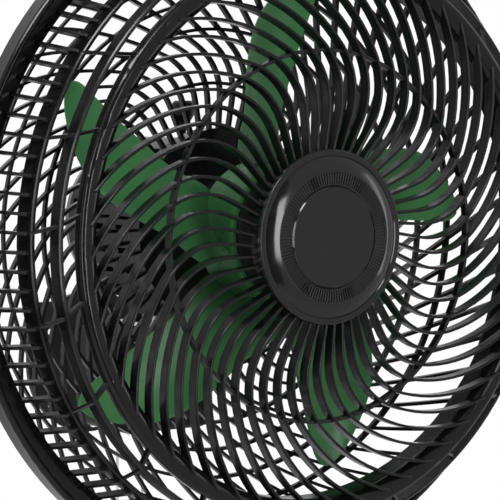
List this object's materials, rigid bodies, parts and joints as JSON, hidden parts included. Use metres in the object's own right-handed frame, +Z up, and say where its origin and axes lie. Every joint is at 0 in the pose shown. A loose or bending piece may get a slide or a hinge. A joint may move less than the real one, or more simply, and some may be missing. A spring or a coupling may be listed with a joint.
{
  "type": "wall fan",
  "caption": "Wall-mounted oscillating fan with a black spiral grille, green blades, a tilting arm and pull-cord switches.",
  "frame": {"origin": "middle of the wall plate's back face, on the wall", "axes": "+Z up, +Y into the wall, the fan faces -Y"},
  "size_m": [0.5292, 0.3516, 0.5771],
  "materials": {
    "grille_black": "satin black moulding",
    "cap_black": "polished black moulding",
    "blade_green": "satin green moulding",
    "housing_black": "fine textured black moulding",
    "gear_plastic": "natural acetal",
    "metal_steel": "plain steel",
    "metal_plate": "black powder coat",
    "metal_alloy": "die casting",
    "lamination": "stacked sheet",
    "copper_wire": "enamelled wire",
    "bronze": "sintered bush",
    "cord_grey": "braided cord",
    "gland_rubber": "moulded rubber"
  },
  "bodies": {
    "base": {"wall_plate": "metal_plate", "tilt_bolt": "metal_steel"},
    "clamp_knob": {"tilt_knob": "housing_black"},
    "arm": {"arm_housing": "housing_black", "arm_cover": "housing_black", "cover_screws": "metal_steel", "pull_switch_left": "housing_black", "pull_switch_right": "housing_black", "cord_eyelet_left": "housing_black", "cord_eyelet_right": "housing_black", "cable_gland": "gland_rubber", "run_capacitor": "housing_black"},
    "left_pull": {"pull_plunger_left": "gear_plastic", "pull_cord_left": "cord_grey", "pull_bell_left": "housing_black"},
    "right_pull": {"pull_plunger_right": "gear_plastic", "pull_cord_right": "cord_grey", "pull_bell_right": "housing_black"},
    "head": {"gearbox_case": "metal_alloy", "gearbox_lid": "metal_alloy", "motor_front_shell": "housing_black", "motor_rear_shell": "housing_black", "motor_rear_bell": "metal_alloy", "motor_front_bell": "metal_alloy", "stator": "lamination", "windings": "copper_wire", "rear_bearing": "bronze", "front_bearing": "bronze", "rear_grille": "grille_black", "grille_ring_nut": "housing_black", "front_grille": "grille_black", "front_cap": "cap_black"},
    "fan": {"shaft": "metal_steel", "rotor_core": "lamination", "drive_pin": "metal_steel", "fan_blade": "blade_green", "spinner_nut": "housing_black"},
    "gears": {"gear_shaft": "gear_plastic"},
    "crank": {"oscillation_crank": "gear_plastic"},
    "link": {"oscillation_link": "metal_steel"},
    "knob": {"oscillation_knob": "housing_black"}
  },
  "joints": [
    {"name": "tilt", "type": "hinge", "parent": "base", "child": "arm", "pos_m": [0, -0.032, 0], "axis": [1, 0, 0], "range_deg": [-10, 25]},
    {"name": "clamp_turn", "type": "hinge", "parent": "base", "child": "clamp_knob", "pos_m": [0.03, -0.032, 0], "axis": [1, 0, 0], "continuous": true},
    {"name": "oscillation", "type": "hinge", "parent": "arm", "child": "head", "pos_m": [0, -0.092, 0.06], "axis": [0, 0, 1], "range_deg": [-35, 35]},
    {"name": "fan_spin", "type": "hinge", "parent": "head", "child": "fan", "pos_m": [0, -0.2, 0.131], "axis": [0, 1, 0], "continuous": true},
    {"name": "gear_spin", "type": "hinge", "parent": "head", "child": "gears", "pos_m": [0.016, -0.127, 0.131], "axis": [0, 0, 1], "continuous": true},
    {"name": "crank_spin", "type": "hinge", "parent": "head", "child": "crank", "pos_m": [-0.0053, -0.127, 0.06], "axis": [0, 0, 1], "continuous": true},
    {"name": "link_swing", "type": "hinge", "parent": "arm", "child": "link", "pos_m": [-0.024, -0.092, 0.047], "axis": [0, 0, 1], "range_deg": [-16, 16]},
    {"name": "knob_lift", "type": "slide", "parent": "head", "child": "knob", "axis": [0, 0, 1], "range_m": [0, 0.005]},
    {"name": "left_pull", "type": "slide", "parent": "arm", "child": "left_pull", "axis": [0, 0, -1], "range_m": [0, 0.008], "stiffness_N_per_m": 400, "springref_m": -0.003},
    {"name": "right_pull", "type": "slide", "parent": "arm", "child": "right_pull", "axis": [0, 0, -1], "range_m": [0, 0.008], "stiffness_N_per_m": 400, "springref_m": -0.003}
  ],
  "couplings": [
    {"joint": "gear_spin", "follows": "fan_spin", "ratio": 0.025},
    {"joint": "crank_spin", "follows": "fan_spin", "ratio": -0.0078125},
    {"joint": "link_swing", "follows": "oscillation", "ratio": 0.45}
  ]
}
